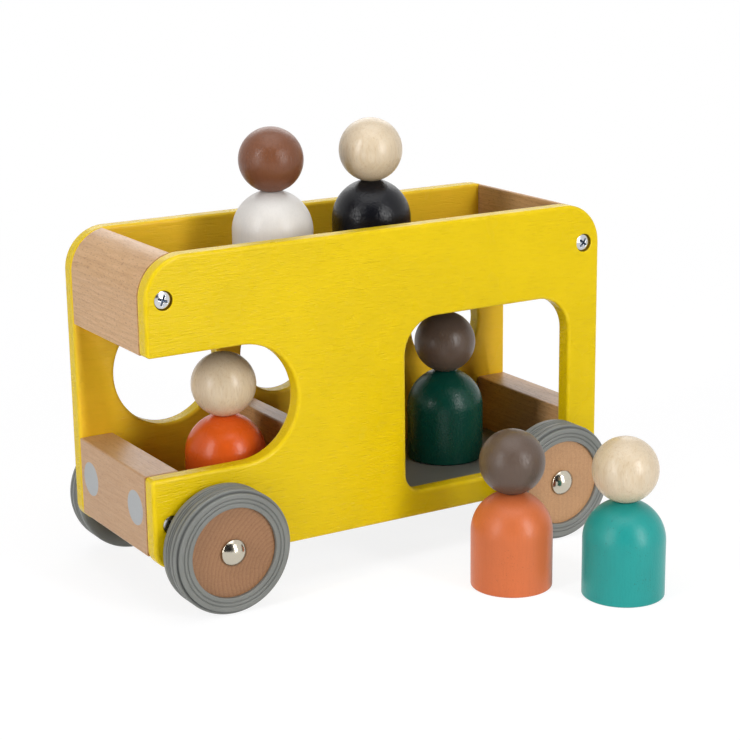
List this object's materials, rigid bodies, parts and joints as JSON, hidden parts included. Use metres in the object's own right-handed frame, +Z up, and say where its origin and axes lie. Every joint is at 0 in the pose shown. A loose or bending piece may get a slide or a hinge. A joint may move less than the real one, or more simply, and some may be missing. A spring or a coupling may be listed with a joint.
{
  "type": "toy bus",
  "caption": "Open-top double-deck wooden toy bus with a door, round windows, rubber-tyred wheels that turn and loose ball-headed peg figures.",
  "frame": {"origin": "on the ground under the middle of the bus, half way between its panels and its ends", "axes": "+X towards the front of the bus, +Y towards its door side, +Z up"},
  "size_m": [0.26, 0.2283, 0.2212],
  "materials": {
    "yellow_paint": "plywood under semi-gloss yellow paint, grain showing faintly",
    "beech": "bare beech under clear matt lacquer, short fleck figure",
    "grey_paint": "plywood under satin grey paint",
    "axle_steel": "drawn steel rod",
    "screw_steel": "bright zinc plate",
    "tyre_rubber": "soft grey rubber, satin",
    "cap_chrome": "polished nickel plate",
    "washer_plastic": "natural nylon",
    "orange_paint": "satin orange paint on turned wood",
    "dark_green_paint": "satin dark green paint on turned wood",
    "white_paint": "satin white paint on turned wood",
    "black_paint": "satin black paint on turned wood",
    "coral_paint": "satin pale orange paint on turned wood",
    "teal_paint": "satin teal paint on turned wood",
    "bare_maple": "bare pale turned wood under clear lacquer",
    "brown_paint": "satin red-brown paint on turned wood",
    "umber_paint": "satin dark brown paint on turned wood"
  },
  "bodies": {
    "bus": {"left_panel": "yellow_paint", "right_panel": "yellow_paint", "front_top_block": "beech", "rear_top_block": "beech", "front_bumper": "beech", "rear_block": "beech", "cab_divider": "beech", "lower_deck": "grey_paint", "upper_deck": "grey_paint", "front_axle": "axle_steel", "rear_axle": "axle_steel", "left_screws": "screw_steel", "right_screws": "screw_steel", "front_left_axle_cap": "cap_chrome", "front_left_spacer_washer": "washer_plastic", "front_right_axle_cap": "cap_chrome", "front_right_spacer_washer": "washer_plastic", "rear_left_axle_cap": "cap_chrome", "rear_left_spacer_washer": "washer_plastic", "rear_right_axle_cap": "cap_chrome", "rear_right_spacer_washer": "washer_plastic"},
    "front_left_wheel": {"front_left_tyre": "tyre_rubber", "front_left_wheel_disc": "beech"},
    "front_right_wheel": {"front_right_tyre": "tyre_rubber", "front_right_wheel_disc": "beech"},
    "rear_left_wheel": {"rear_left_tyre": "tyre_rubber", "rear_left_wheel_disc": "beech"},
    "rear_right_wheel": {"rear_right_tyre": "tyre_rubber", "rear_right_wheel_disc": "beech"},
    "driver": {"driver_body": "orange_paint", "driver_head": "bare_maple", "driver_peg": "beech"},
    "passenger": {"passenger_body": "dark_green_paint", "passenger_head": "umber_paint", "passenger_peg": "beech"},
    "deck_front": {"deck_front_body": "white_paint", "deck_front_head": "brown_paint", "deck_front_peg": "beech"},
    "deck_rear": {"deck_rear_body": "black_paint", "deck_rear_head": "bare_maple", "deck_rear_peg": "beech"},
    "near_visitor": {"near_visitor_body": "coral_paint", "near_visitor_head": "umber_paint", "near_visitor_peg": "beech"},
    "far_visitor": {"far_visitor_body": "teal_paint", "far_visitor_head": "bare_maple", "far_visitor_peg": "beech"}
  },
  "joints": [
    {"name": "front_left_spin", "type": "hinge", "parent": "bus", "child": "front_left_wheel", "pos_m": [0.0965, 0.0565, 0.0309], "axis": [0, 1, 0], "continuous": true},
    {"name": "front_right_spin", "type": "hinge", "parent": "bus", "child": "front_right_wheel", "pos_m": [0.0965, -0.0565, 0.0309], "axis": [0, 1, 0], "continuous": true},
    {"name": "rear_left_spin", "type": "hinge", "parent": "bus", "child": "rear_left_wheel", "pos_m": [-0.0965, 0.0565, 0.0309], "axis": [0, 1, 0], "continuous": true},
    {"name": "rear_right_spin", "type": "hinge", "parent": "bus", "child": "rear_right_wheel", "pos_m": [-0.0965, -0.0565, 0.0309], "axis": [0, 1, 0], "continuous": true},
    {"name": "driver_shuffle", "type": "slide", "parent": "bus", "child": "driver", "axis": [1, 0, 0], "range_m": [-0.0086, 0.0182]},
    {"name": "passenger_out", "type": "slide", "parent": "bus", "child": "passenger", "axis": [0.4052, 0.9101, 0.0872], "range_m": [0, 0.0665]},
    {"name": "deck_front_lift", "type": "slide", "parent": "bus", "child": "deck_front", "axis": [0, 0, 1], "range_m": [0, 0.05]},
    {"name": "deck_rear_lift", "type": "slide", "parent": "bus", "child": "deck_rear", "axis": [0, 0, 1], "range_m": [0, 0.05]},
    {"name": "near_visitor_lift", "type": "slide", "parent": "bus", "child": "near_visitor", "axis": [0, 0, 1], "range_m": [0, 0.05]},
    {"name": "far_visitor_lift", "type": "slide", "parent": "bus", "child": "far_visitor", "axis": [0, 0, 1], "range_m": [0, 0.05]}
  ]
}
